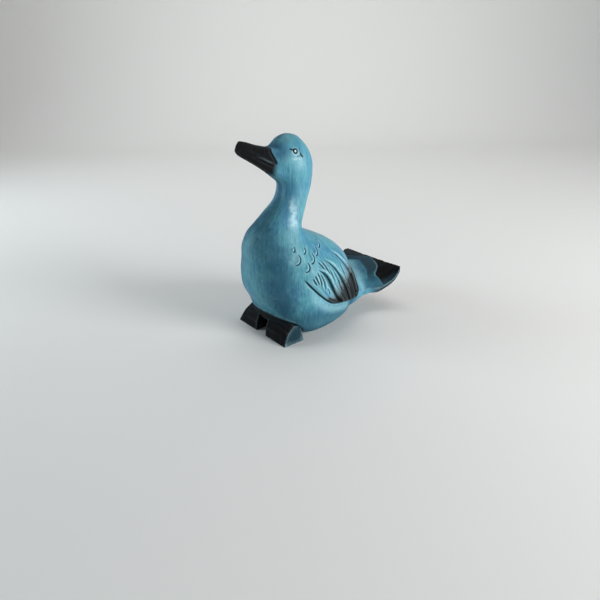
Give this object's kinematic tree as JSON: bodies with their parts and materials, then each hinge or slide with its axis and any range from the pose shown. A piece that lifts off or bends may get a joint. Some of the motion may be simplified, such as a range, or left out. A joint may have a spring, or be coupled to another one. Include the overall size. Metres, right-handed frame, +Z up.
{
  "type": "duck figurine",
  "caption": "Carved wooden duck ornament sitting upright on a flat underside and block feet, with raised wings, an upturned fan tail and a long wedge bill, painted teal and black.",
  "frame": {"origin": "under the middle of the duck's length and width, on the surface that it stands on", "axes": "+Z up; the duck faces -Y, its tail points to +Y and its left wing is on the +X side"},
  "size_m": [0.122, 0.215, 0.23],
  "materials": {
    "painted_wood": "teal paint rubbed back over a dark stain, black bill, feet, wing tips and tail, satin wax"
  },
  "bodies": {
    "root": {"duck": "painted_wood"}
  },
  "joints": []
}
